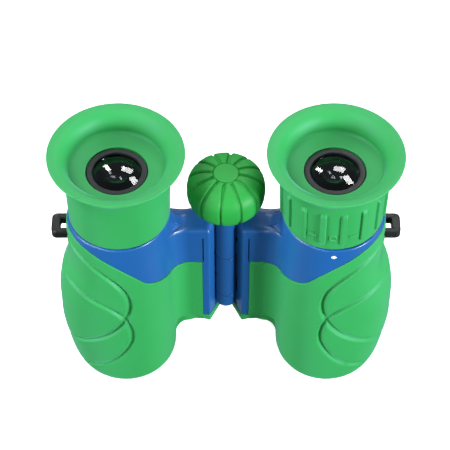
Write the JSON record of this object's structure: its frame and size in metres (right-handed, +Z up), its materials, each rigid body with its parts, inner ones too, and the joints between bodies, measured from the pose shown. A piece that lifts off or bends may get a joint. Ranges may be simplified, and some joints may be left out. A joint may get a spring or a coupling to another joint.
{
  "type": "binoculars",
  "caption": "Small folding roof-prism binoculars with flared rubber eyecups, a melon-shaped centre focus knob, a diopter ring on the right eyepiece and side strap lugs.",
  "frame": {"origin": "on the floor, midway between the two objective ends, in the plane of the optical axes", "axes": "+Z up the optical axes from the objectives to the eyepieces, +X from the left barrel to the right one, -Y the side the barrels fold towards"},
  "size_m": [0.1148, 0.044, 0.099],
  "materials": {
    "green_rubber": "satin moulded rubber, bright green",
    "green_plastic": "satin moulded plastic, green",
    "blue_plastic": "semi-gloss moulded plastic, blue",
    "black_plastic": "fine spark-eroded black plastic",
    "white_paint": "white index mark",
    "coated_glass": "coated optical glass",
    "prism_glass": "polished optical glass",
    "brass": "machined brass",
    "steel": "bright steel"
  },
  "bodies": {
    "left_barrel": {"left_housing": "blue_plastic", "left_armor": "green_rubber", "left_strap_lug": "black_plastic", "left_prism_cage": "black_plastic", "left_cage_screw_front": "steel", "left_cage_screw_back": "steel", "left_half_penta_prism": "prism_glass", "left_roof_prism": "prism_glass", "left_prism_spring": "steel", "left_eyepiece_sleeve": "black_plastic", "left_field_lens": "coated_glass", "left_lens_spacer": "black_plastic", "left_eye_lens": "coated_glass", "left_eyepiece_ring": "black_plastic", "left_eyecup": "green_rubber", "lower_hinge_bush": "brass", "upper_hinge_bush": "brass"},
    "right_barrel": {"right_housing": "blue_plastic", "right_armor": "green_rubber", "right_strap_lug": "black_plastic", "right_prism_cage": "black_plastic", "right_cage_screw_front": "steel", "right_cage_screw_back": "steel", "right_half_penta_prism": "prism_glass", "right_roof_prism": "prism_glass", "right_prism_spring": "steel", "diopter_index_mark": "white_paint", "focus_screw_collar": "brass", "hinge_plug": "black_plastic"},
    "left_objective": {"left_objective_cell": "black_plastic", "left_crown_lens": "coated_glass", "left_flint_lens": "coated_glass", "left_objective_lock_ring": "black_plastic", "left_focus_arm": "steel"},
    "right_objective": {"right_objective_cell": "black_plastic", "right_crown_lens": "coated_glass", "right_flint_lens": "coated_glass", "right_objective_lock_ring": "black_plastic", "right_focus_arm": "steel"},
    "right_eyepiece": {"right_eyepiece_sleeve": "black_plastic", "right_field_lens": "coated_glass", "right_lens_spacer": "black_plastic", "right_eye_lens": "coated_glass", "right_eyepiece_ring": "black_plastic"},
    "diopter_ring": {"diopter_ring": "green_rubber"},
    "focus_knob": {"focus_knob": "green_plastic", "knob_cap": "green_plastic", "knob_screw": "steel", "lead_screw": "steel"},
    "focus_carriage": {"focus_carriage": "brass"}
  },
  "joints": [
    {"name": "interpupillary_hinge", "type": "hinge", "parent": "left_barrel", "child": "right_barrel", "pos_m": [0, 0.003, 0.0396], "axis": [0, 0, 1], "range_deg": [-66, 0]},
    {"name": "focus_turn", "type": "hinge", "parent": "right_barrel", "child": "focus_knob", "pos_m": [0, 0.003, 0.0784], "axis": [0, 0, 1], "range_deg": [-180, 180]},
    {"name": "carriage_slide", "type": "slide", "parent": "left_barrel", "child": "focus_carriage", "axis": [0, 0, 1], "range_m": [-0.0012, 0.0012]},
    {"name": "left_objective_slide", "type": "slide", "parent": "left_barrel", "child": "left_objective", "axis": [0, 0, 1], "range_m": [-0.0012, 0.0012]},
    {"name": "right_objective_slide", "type": "slide", "parent": "right_barrel", "child": "right_objective", "axis": [0, 0, 1], "range_m": [-0.0012, 0.0012]},
    {"name": "diopter_turn", "type": "hinge", "parent": "right_barrel", "child": "diopter_ring", "pos_m": [0.0348, 0, 0.085], "axis": [0, 0, 1], "range_deg": [-45, 45]},
    {"name": "right_eyepiece_slide", "type": "slide", "parent": "right_barrel", "child": "right_eyepiece", "axis": [0, 0, 1], "range_m": [-0.00045, 0.00045]}
  ],
  "couplings": [
    {"joint": "carriage_slide", "follows": "focus_turn", "m_per_rad": 0.00038},
    {"joint": "left_objective_slide", "follows": "focus_turn", "m_per_rad": 0.00038},
    {"joint": "right_objective_slide", "follows": "focus_turn", "m_per_rad": 0.00038},
    {"joint": "right_eyepiece_slide", "follows": "diopter_turn", "m_per_rad": 0.00057}
  ]
}
